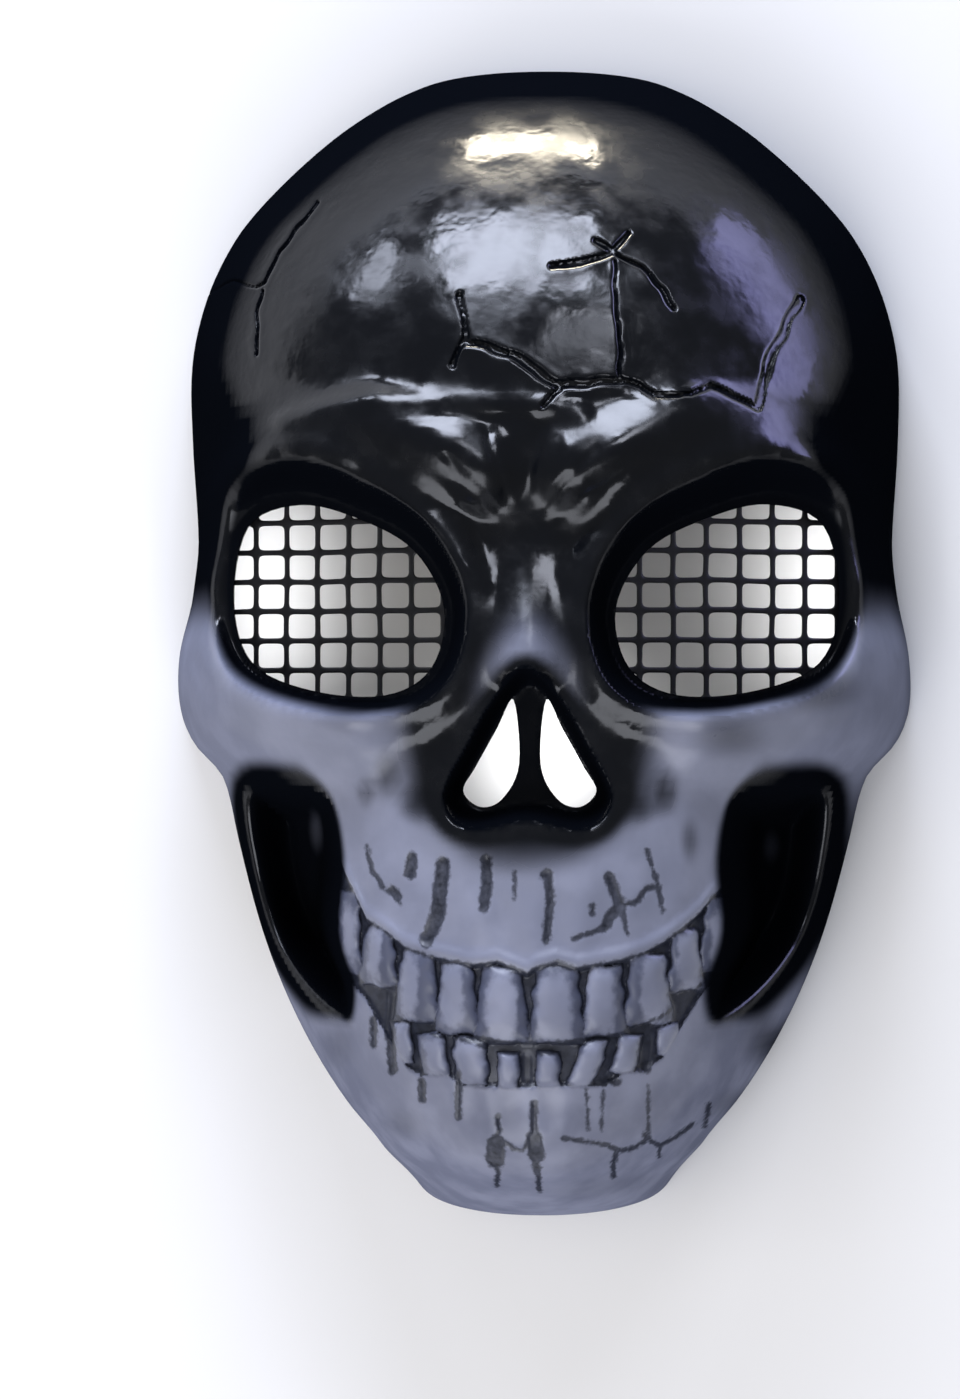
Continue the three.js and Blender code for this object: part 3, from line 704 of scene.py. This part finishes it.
shell = to_object("mask_shell_moulding", raise_slab(outer, outside, 0.0, 0.0))
hollow_slab = raise_slab(face_grid(84, 120, WALL), inside, -1.0, -2.0)
for face in hollow_slab.faces:
    face.material_index = BARE
hollow = to_object("hollow", hollow_slab)
for piece in (shell, hollow):
    piece.data.materials.append(bpy.data.materials.new("painted_side"))
    piece.data.materials.append(bpy.data.materials.new("bare_side"))
combine(shell, hollow, "DIFFERENCE")
for side in (-1, 1):
    for edge in (opening_edge, nostril_edge):
        through = outline_prism(edge, side, -1.0, 2 * FACE_DEPTH)
        combine(shell, to_object("opening", through), "DIFFERENCE")
    seat = along_floor(outline_prism(eye_outline(FLANGE + SEAT_GAP), side, -socket_floor, -WALL))
    combine(shell, to_object("seat", seat), "DIFFERENCE")
    slot = bmesh.new()
    bmesh.ops.create_cube(slot, size=1.0)
    bmesh.ops.scale(slot, vec=(HALF_WIDTH / 2, SLOT_LONG, SLOT_WIDE), verts=slot.verts[:])
    slot_out = side * float(half_width_at(np.array(SLOT_UP / HALF_HEIGHT)))
    bmesh.ops.translate(slot, vec=(slot_out, SLOT_UP, SLOT_ABOVE_RIM), verts=slot.verts[:])
    long_edges = [edge for edge in slot.edges if abs(edge.verts[0].co.x - edge.verts[1].co.x) > 1]
    bmesh.ops.bevel(slot, geom=long_edges, affect="EDGES", offset=SLOT_CORNER, segments=4,
                    profile=0.5, material=-1)
    combine(shell, to_object("slot", slot), "DIFFERENCE")
bare_faces = sum(face.material_index == BARE for face in shell.data.polygons)
print("shell faces:", len(shell.data.polygons), "of which bare:", bare_faces)

# %% [markdown]
# ## Paint as numbers on the surface
# The paint follows the forms: black is sprayed softly over the forehead, sockets, nose and
# cheek hollows, grey stain lies between the teeth, and dark ink is brushed in sharp strokes.
# Some smudges in the black are painted shade on the right cheekbone and jaw, and the soft edge
# of the grey between the teeth is painted shade in the gaps. So each point of the mesh stores
# how black the spray and painted shade are, how thick the clear varnish lies, and its distance
# to the edges of stain and ink. The material turns the distances into crisp edges and roughens
# them with noise, finer than the mesh itself.

# %% Spray and painted shade, varnish, stain and ink
SPRAY_LINE, SPRAY_BLEND = -10, 24
VARNISH_TILT, VARNISH_BLEND = 64, 24
NOSE_SHADE = [(14, 6), (18, -8), (21, -20), (19, -34), (9, -42), (0, -42)]
# Smudges of overspray, some of them painted shade that darkens the right cheekbone and jaw:
# middle, half width, half height, strength.
OVERSPRAY_AND_SHADE_SPOTS = [(32, -36, 4, 7, 0.7), (37.3, -47, 3, 7, 0.55), (-33, -32, 4, 7, 0.6),
           (-38, -36, 3, 5, 0.55), (26, -40, 5, 4, 0.5), (-26, -39, 5, 5, 0.5),
           (-58, -104, 6, 5, 0.6), (56, -97, 8, 8, 0.65), (46, -111, 7, 6, 0.4),
           (-70, -72, 5, 16, 0.4), (71, -60, 5, 20, 0.6), (66, -12, 15, 7, 0.6),
           (47, -23, 12, 7, 0.55), (-42, -19, 10, 6, 0.35), (46, -84, 9, 14, 0.4),
           (-2, -52, 13, 5, 0.3), (-8, -112, 14, 7, 0.3), (28, -112, 14, 9, 0.25),
           (20, -62, 14, 8, 0.2), (-30, -114, 9, 6, 0.35), (14, -129, 18, 5, 0.3),
           (-22, -60, 12, 6, 0.2), (-46, -96, 7, 9, 0.35), (0, -34, 12, 8, 0.4)]


def spray_and_shade(x, y):
    """How thick the sprayed black lies, from 0 to 1, with painted shade in some smudges."""
    out = np.abs(x)
    bare = 1 - ease((y - SPRAY_LINE - 0.05 * out) / SPRAY_BLEND)
    bare = bare * ease((to_outline(out, y, socket_rim) + 3) / 4)
    bare = bare * ease((to_outline(x, y, cavity_rim) - 0.5) / 5)
    bare = bare * (1 - 0.93 * ease((16 - to_run(out, y, NOSE_SHADE)) / 13))
    outer_side = ease((out - 44) / 12)
    past_hollow = to_outline(out, y, hollow_edge) + 2.5 - 3.0 * outer_side
    bare = bare * ease(past_hollow / (3.5 + 4 * outer_side))
    # Overspray smudges, and painted shade on the right cheekbone and jaw, darken the bone grey.
    for middle, height, wide, tall, strength in OVERSPRAY_AND_SHADE_SPOTS:
        spot = swell(np.hypot((x - middle) / wide, (y - height) / tall) / 1.3)
        bare = bare * (1 - strength * spot)
    bare = bare * (0.6 + 0.4 * ease((dome(x, y) - 8) / 26))
    # The black is thinner in a soft patch at the bottom of each cheek hollow.
    pale_patch = 0.3 * swell(np.hypot((x + 53) / 4, (y + 46) / 9))
    pale_patch = pale_patch + 0.2 * swell(np.hypot((x - 56) / 4, (y + 50) / 8))
    return 1 - np.maximum(bare, pale_patch)


def varnish(x, y):
    """How thick the varnish lies: 1 on the open face, a mist on steep sides and in pits."""
    out, step = np.abs(x), 2.0
    lean_x = form(x + step, y) - form(x - step, y)
    lean_y = form(x, y + step) - form(x, y - step)
    tilt = np.degrees(np.arctan(np.hypot(lean_x, lean_y) / (2 * step)))
    deep = ease((-to_outline(out, y, socket_rim) - 3) / 2.5)
    deep = np.maximum(deep, 0.8 * ease((-to_outline(x, y, cavity_rim) - 2.5) / 2.5))
    deep = np.maximum(deep, ease((-to_outline(out, y, hollow_edge) - 2) / 5))
    return ease((VARNISH_TILT - tilt) / VARNISH_BLEND) * (1 - 0.95 * deep)


def stain_edge(x, y):
    """Distance to the edge of the grey stain, negative inside it."""
    band = np.maximum(y - line_at(x, GUM), line_at(x, LOW_GUM) - y)
    band = np.maximum(band, np.abs(x) - 48)
    face = np.full(np.shape(x), FAR)
    x, y = x + 0.5 * ripple(x, y, 5.0, 1.7), y + 0.5 * ripple(x, y, 6.0, 0.3)
    for row in TEETH:
        u, v, half = tooth_place(x, y, row, face=True)
        face = np.minimum(face, ((np.abs(u) ** 3 + np.abs(v) ** 3) ** (1 / 3) - 1.04) * half)
    return np.maximum(band, -face)


def ink_edge(x, y):
    """Distance to the edge of the dark ink, negative inside it."""
    ink = edge_distance(x, y, STROKES, 6.0)
    thick = 0.35 + 0.3 * ease((20 - np.abs(x)) / 12)
    ink = np.minimum(ink, np.where(np.abs(x) < 47, np.abs(y - line_at(x, GUM)) - thick, FAR))
    bite_half = 0.4 + 1.1 * ease((16 - np.abs(x)) / 7)
    ink = np.minimum(ink, np.where(np.abs(x) < 40, np.abs(y - line_at(x, BITE)) - bite_half, FAR))
    mouth = (y < line_at(x, GUM)) & (y > line_at(x, LOW_GUM)) & (np.abs(x) < 47)
    gaps = np.where(mouth, (teeth_rise(x, y) - 0.3) * 2.2, FAR)
    return np.minimum(ink, gaps)


place = np.empty(len(shell.data.vertices) * 3, np.float32)
shell.data.vertices.foreach_get("co", place)
x, y = place.reshape(-1, 3).astype(float).T[:2]
for name, numbers in (("spray_and_shade", spray_and_shade), ("varnish", varnish), ("stain", stain_edge),
                      ("ink", ink_edge)):
    values = numbers(x, y).astype(np.float32)
    shell.data.attributes.new(name, "FLOAT", "POINT").data.foreach_set("value", values)
    print(name, "from", round(float(values.min()), 2), "to", round(float(values.max()), 2))

# %% [markdown]
# ## Shading and placing
# A mould leaves round forms smooth and its edges crisp. Smooth shading with sharp edges above an
# angle gives both without more faces. Each piece then rides on the body of the solid model, and
# says which of its nodes it takes the place of.

# %% A finished piece
SHARP_ANGLE = math.radians(48)


def finish_piece(piece, slot, *replaced):
    piece.data.transform(Matrix.Scale(MM, 4))
    piece.data.shade_smooth()
    piece.data.set_sharp_from_angle(angle=SHARP_ANGLE)
    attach(piece, "root")
    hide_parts(*replaced)
    triangles = sum(len(face.vertices) - 2 for face in piece.data.polygons)
    print(piece.name, "triangles:", triangles)


finish_piece(shell, "moulded_shell", "mask_shell")

# %% [markdown]
# ## The net behind each eye
# The net is one moulding of square openings with soft corners. A grid of cells is inset to give
# the bars and its middles are deleted. A subdivision surface then rounds every bar and corner at
# once, where bars made one by one would only cross. It is trimmed to the eye's outline, joined to
# a flat border ring and bent a little.

# %% The nets
PITCH_ACROSS, PITCH_UP, BAR, NET_THICK, BORDER = 7.7, 7.0, 1.9, 1.2, 1.6
CELLS_ACROSS, CELLS_UP, CELL_EDGE_CUTS = 10, 9, 2
NET_SHIFT_ACROSS, NET_SHIFT_UP = 2.5, -2.6
NET_BEND, NET_TRIM = 0.3, 0.4


def net_sheet(side):
    """A flat sheet of rounded bars, larger than the eye."""
    sheet = bmesh.new()
    bmesh.ops.create_grid(sheet, x_segments=CELLS_ACROSS, y_segments=CELLS_UP, size=0.5)
    wide, tall = CELLS_ACROSS * PITCH_ACROSS, CELLS_UP * PITCH_UP
    bmesh.ops.scale(sheet, vec=(wide, tall, 1.0), verts=sheet.verts[:])
    cells = sheet.faces[:]
    bmesh.ops.inset_individual(sheet, faces=cells, thickness=BAR / 2)
    bmesh.ops.delete(sheet, geom=cells, context="FACES")
    along_cells = [edge for edge in sheet.edges if edge.calc_length() > 2 * BAR]
    bmesh.ops.subdivide_edges(sheet, edges=along_cells, cuts=CELL_EDGE_CUTS, use_grid_fill=True)
    bmesh.ops.solidify(sheet, geom=sheet.faces[:], thickness=NET_THICK)
    middle = (side * EYE_OUT + NET_SHIFT_ACROSS, EYE_UP + NET_SHIFT_UP + PITCH_UP / 2, 0)
    bmesh.ops.translate(sheet, vec=middle, verts=sheet.verts[:])
    bmesh.ops.recalc_face_normals(sheet, faces=sheet.faces[:])
    return sheet


def eye_reach(px, py):
    """1 in the middle of an eye, 0 at its border, for the bends of the net."""
    far = math.hypot((abs(px) - EYE_OUT) / (EYE_WIDE / 2), (py - EYE_UP) / (EYE_TALL / 2))
    return max(0.0, 1.0 - far)


def eye_net(side, name):
    """One net: its rounded bars within the eye's outline, joined to the border ring."""
    net = to_object(name, net_sheet(side))
    rounding = net.modifiers.new("rounding", "SUBSURF")
    rounding.levels = rounding.render_levels = 2
    settled = net.evaluated_get(bpy.context.evaluated_depsgraph_get())
    rounded = bpy.data.meshes.new_from_object(settled)
    net.modifiers.clear()
    net.data = rounded
    depths = [vert.co.z for vert in net.data.vertices]
    low, high = min(depths), max(depths)
    within = outline_prism(eye_outline(FLANGE - NET_TRIM), side, low - 1, high + 1)
    combine(net, to_object("within", within), "INTERSECT")
    ring = to_object("ring", outline_prism(eye_outline(FLANGE), side, low, high))
    hole = outline_prism(eye_outline(FLANGE - BORDER), side, low - 1, high + 1)
    combine(ring, to_object("hole", hole), "DIFFERENCE")
    combine(net, ring, "UNION")
    for vert in net.data.vertices:
        px, py = vert.co.x, vert.co.y
        bend = NET_BEND * eye_reach(px, py)
        vert.co.x += bend * float(ripple(np.array(px), np.array(py), 23.0, 0.7 + side))
        vert.co.y += bend * float(ripple(np.array(px), np.array(py), 26.0, 2.7 + side))
        vert.co.z += float(socket_floor_at(px)) - WALL - SEAT_GAP - high
    return net


for side, word in ((-1, "left"), (1, "right")):
    finish_piece(eye_net(side, "eye_net_" + word), "eye_net", "eye_mesh_" + word)

# %% [markdown]
# ## Materials
# The shell is ABS, moulded in bone grey, painted and varnished, and the nets are black
# polypropylene. Every material is built of noise in the piece's own coordinates, so it needs no
# picture and stays with the piece. A few short functions add the nodes.

# %% Colours and nodes
FACTOR, MIX_A, MIX_B, MIX_OUT = 0, 6, 7, 2


def linear(code):
    """A linear colour from an sRGB hex value."""
    shares = [int(code[i:i + 2], 16) / 255 for i in (1, 3, 5)]
    return [s / 12.92 if s <= 0.04045 else ((s + 0.055) / 1.055) ** 2.4 for s in shares] + [1.0]


def new_material(name):
    """An empty node material and its tree."""
    material = bpy.data.materials.new(name)
    material.use_nodes = True
    material.node_tree.nodes.clear()
    return material, material.node_tree


def add_node(kind, inputs, output=0, **settings):
    """Adds a shader node, with its inputs as values or links, and gives one output."""
    node = tree.nodes.new("ShaderNode" + kind)
    for name, value in settings.items():
        setattr(node, name, value)
    for key, value in inputs.items():
        if isinstance(value, bpy.types.NodeSocket):
            tree.links.new(value, node.inputs[key])
        else:
            node.inputs[key].default_value = value
    return node.outputs[output] if node.outputs else node


def grain(size, detail=2.0):
    """A noise with grains about a size in millimetres."""
    place = add_node("TexCoord", {}, "Object")
    return add_node("TexNoise", {"Vector": place, "Scale": 1 / (size * MM), "Detail": detail})


def step_between(value, low, high):
    """A soft step from 0 at low to 1 at high."""
    inputs = {"Value": value, "From Min": low, "From Max": high}
    return add_node("MapRange", inputs, interpolation_type="SMOOTHSTEP")


def carried(value, low, high, start=0.0, end=1.0):
    """A value carried from one range, start to end, to another, low to high."""
    return add_node("MapRange", {"Value": value, "From Min": start, "From Max": end,
                                 "To Min": low, "To Max": high})


def mixed(factor, first, second):
    """Two colours mixed by a factor."""
    inputs = {FACTOR: factor, MIX_A: first, MIX_B: second}
    return add_node("Mix", inputs, MIX_OUT, data_type="RGBA")


def bumped(height, strength, distance, **more):
    """A fine unevenness, its distance in millimetres."""
    return add_node("Bump", {"Height": height, "Strength": strength, "Distance": distance * MM,
                             **more})


def surface(inputs):
    """Closes the present material with its shader."""
    add_node("OutputMaterial", {"Surface": add_node("BsdfPrincipled", inputs)})
    print("nodes:", len(tree.nodes))


print("middle grey, linear:", round(linear("#808080")[0], 3))

# %% [markdown]
# ## The painted side
# Acrylic paint over ABS, under clear varnish: deep glossy black and softer lavender grey. The
# varnish gives sharp reflections that its slight waves break up, so the black is smooth in
# patches only. It is thin on steep sides and in pits, which the stored number says.

# %% Painted shell
painted, tree = new_material("varnished_painted_abs")
brush, cloud = grain(1.6, 4.0), grain(14.0, 3.0)


def stored(name):
    """A number that is stored on the mesh."""
    return add_node("Attribute", {}, "Fac", attribute_name=name)


def shifted(value, noise, amount):
    """A value moved up and down by a noise that lies between 0 and 1."""
    centred = add_node("Math", {0: noise, 1: 0.5}, operation="SUBTRACT")
    scaled = add_node("Math", {0: centred, 1: amount}, operation="MULTIPLY")
    return add_node("Math", {0: value, 1: scaled}, operation="ADD")


axes_place = add_node("TexCoord", {}, "Object")
height_share = step_between(add_node("SeparateXYZ", {0: axes_place}, "Y"), -0.125, -0.02)
bone = mixed(height_share, linear("#6a6e81"), linear("#75798b"))
bone = mixed(step_between(cloud, 0.35, 0.7), bone, linear("#7e8295"))
# Grey stain between the teeth; its wide soft edge is painted shade in the gaps.
stain_and_shade_mask = step_between(shifted(stored("stain"), brush, 1.5), 0.85, -0.75)
stained_and_shaded = mixed(stain_and_shade_mask, bone, linear("#494d5f"))
ink_mask = step_between(shifted(stored("ink"), brush, 2.0), 0.5, -0.35)
ink_film = add_node("Math", {0: ink_mask, 1: carried(brush, 0.75, 1.0, 0.3, 0.7)},
                    operation="MULTIPLY")
inked = mixed(ink_film, stained_and_shaded, linear("#1b1e28"))
# Sprayed black, with painted shade from some smudges.
spray_and_shade_mask = step_between(shifted(stored("spray_and_shade"), cloud, 0.16), 0.06, 0.94)
# The black is tinted a little blue, a painted bluish sheen.
coloured = mixed(spray_and_shade_mask, inked, linear("#07090e"))

BONE_ROUGH, BLACK_SMOOTH, BLACK_ROUGH, VARNISH_SHINE = 0.38, 0.13, 0.3, 0.5
patchy = step_between(grain(9.0, 3.0), 0.35, 0.68)
gloss = carried(spray_and_shade_mask, BONE_ROUGH, carried(patchy, BLACK_SMOOTH, BLACK_ROUGH))
brushed = bumped(brush, 0.35, 0.06)
surface({"Base Color": coloured, "Roughness": gloss, "IOR": 1.47,
         "Specular IOR Level": carried(stored("varnish"), 0.0, VARNISH_SHINE),
         "Normal": bumped(grain(6.0), 0.5, 0.35, Normal=brushed)})

# %% [markdown]
# ## The bare side and the nets
# Behind, the ABS is as it left the mould: grey and dull, with a faint flow grain. The nets are
# polypropylene, black all through, with a satin skin. Neither is painted, so one noise each is
# enough.

# %% Bare plastics
bare, tree = new_material("moulded_grey_abs")
flow = grain(3.0, 3.0)
tone = mixed(step_between(flow, 0.3, 0.7), linear("#6c6d72"), linear("#797a80"))
surface({"Base Color": tone, "Roughness": 0.55, "Normal": bumped(flow, 0.3, 0.08)})
shell.data.materials[PAINTED] = painted
shell.data.materials[BARE] = bare

net_plastic, tree = new_material("moulded_black_polypropylene")
flow = grain(2.0, 3.0)
tone = mixed(step_between(flow, 0.3, 0.7), linear("#08080a"), linear("#131317"))
surface({"Base Color": tone, "Roughness": carried(flow, 0.36, 0.52),
         "Normal": bumped(flow, 0.3, 0.05)})
for word in ("left", "right"):
    mesh = bpy.data.objects["eye_net_" + word].data
    mesh.materials.clear()
    mesh.materials.append(net_plastic)

# %% [markdown]
# ## Floor and camera
# The mask lies on a pale matte board and is seen from straight above, turned by three degrees, as
# the view that the part is matched to. The board has no gloss, so that nothing but the mask
# shines. A long lens from far off keeps the rim from hiding behind the face.

# %% Floor and camera
CAMERA_YAW = math.radians(3.0)
CAMERA_OUT, CAMERA_UP, CAMERA_AWAY, CAMERA_LENS = -16.1, -14.5, 1500.0, 156.4
board, tree = new_material("matte_white_board")
tone = mixed(grain(60.0), linear("#e2e2e3"), linear("#e6e6e7"))
surface({"Base Color": tone, "Roughness": 0.9, "Specular IOR Level": 0.1})
ground = bmesh.new()
bmesh.ops.create_grid(ground, x_segments=1, y_segments=1, size=2.5)
floor = to_object("floor", ground)
floor.data.materials.append(board)

right = Vector((math.cos(CAMERA_YAW), 0, -math.sin(CAMERA_YAW)))
back = Vector((math.sin(CAMERA_YAW), 0, math.cos(CAMERA_YAW)))
up = Vector((0, 1, 0))
camera_data = bpy.data.cameras.new("camera")
camera_data.sensor_width = 36.0
camera_data.lens = CAMERA_LENS
camera_data.dof.use_dof = False
camera = bpy.data.objects.new("camera", camera_data)
spot = (right * CAMERA_OUT + up * CAMERA_UP + back * CAMERA_AWAY) * MM
camera.matrix_world = Matrix.Translation(spot) @ Matrix((right, up, back)).transposed().to_4x4()
bpy.context.scene.collection.objects.link(camera)
bpy.context.scene.camera = camera
print("camera, m:", [round(value, 3) for value in spot])

# %% [markdown]
# ## Light
# A glossy black form is drawn by what it mirrors. So each softbox is placed by its reflection:
# from the spot where its image should lie, the sight line is mirrored at the surface, and the
# lamp stands out along it. The others only fill.


# %% Lamps
def facing(px, py):
    """The point of the smooth form over a plan point, in metres, and the way it faces."""
    px, py, reach = np.array(float(px)), np.array(float(py)), 4.0
    depth = float(form(px, py))
    lean_x = float(form(px + reach, py) - form(px - reach, py)) / (2 * reach)
    lean_y = float(form(px, py + reach) - form(px, py - reach)) / (2 * reach)
    return Vector((float(px), float(py), depth)) * MM, Vector((-lean_x, -lean_y, 1)).normalized()


def area_lamp(name, place, away, size, radiance, colour):
    """A flat lamp of one radiance at a place, which shines against a direction."""
    lamp_data = bpy.data.lights.new(name, "AREA")
    lamp_data.shape = "RECTANGLE"
    lamp_data.size, lamp_data.size_y = size
    lamp_data.energy = radiance * math.pi * size[0] * size[1]
    lamp_data.color = linear(colour)[:3]
    lamp = bpy.data.objects.new(name, lamp_data)
    lamp.location = place
    lamp.rotation_euler = away.to_track_quat("Z", "Y").to_euler()
    lamp.visible_camera = False
    bpy.context.scene.collection.objects.link(lamp)
    print(name, "at", [round(value, 3) for value in lamp.location])
    return lamp


def softbox(name, image, distance, size, radiance, colour):
    """An area lamp whose reflection lies over a plan point, as the camera sees it."""
    point, normal = facing(*image)
    sight = (camera.matrix_world.translation - point).normalized()
    away = 2 * normal.dot(sight) * normal - sight
    return area_lamp(name, point + away * distance, away, size, radiance, colour)


STUDIO_REACH, FLOOR_REACH = 1.4, 0.15
for name, image, size, radiance, colour in (
        ("main_softbox", (-6, 89), (0.7, 0.6), 19.0, "#e2eaff"),
        ("left_lamp", (-36, 86), (0.35, 0.3), 10.5, "#e2eaff"),
        ("brow_lamp", (-7, 48), (0.4, 0.3), 9.5, "#eaefff")):
    softbox(name, image, STUDIO_REACH, size, radiance, colour)
low_away = Vector((-0.15, -0.68, 0.71))
area_lamp("low_lamp", low_away * STUDIO_REACH, low_away, (1.3, 0.9), 3.6, "#f2f5ff")
# Two small ones stand on the floor and show only as reflections.
for name, image, size, radiance, colour in (
        ("crown_lamp", (-1, 117), (0.075, 0.028), 55.0, "#fff4dc"),
        ("violet_lamp", (58, 76), (0.2, 0.065), 8.5, "#a0a0e0")):
    softbox(name, image, FLOOR_REACH, size, radiance, colour).visible_diffuse = False

# %% [markdown]
# ## Fill
# A wide ceiling lamp lights the paint evenly and isn't mirrored. In the photograph light comes
# through the eyes and the nose from behind, which small lamps under the mask stand in for.

# %% Fill lamps and world
ceiling_place, upward = Vector((-0.7, -0.3, 1.7)), Vector((0, 0, 1))
ceiling = area_lamp("ceiling", ceiling_place, ceiling_place, (1.6, 1.6), 2.1, "#fff8ec")
ceiling.visible_glossy = False
for side in (-1, 1):
    area_lamp("eye_glow", (side * 0.069, 0.012, 0.018), upward, (0.012, 0.045), 5.0, "#ffffff")
area_lamp("nose_glow", (0.0, -0.028, 0.016), upward, (0.024, 0.02), 6.0, "#ffffff")

world = bpy.data.worlds.new("studio")
world.use_nodes = True
background = world.node_tree.nodes["Background"].inputs
background["Color"].default_value = linear("#dcdde0")
background["Strength"].default_value = 0.22
bpy.context.scene.world = world
bpy.context.scene.view_settings.view_transform = "Standard"
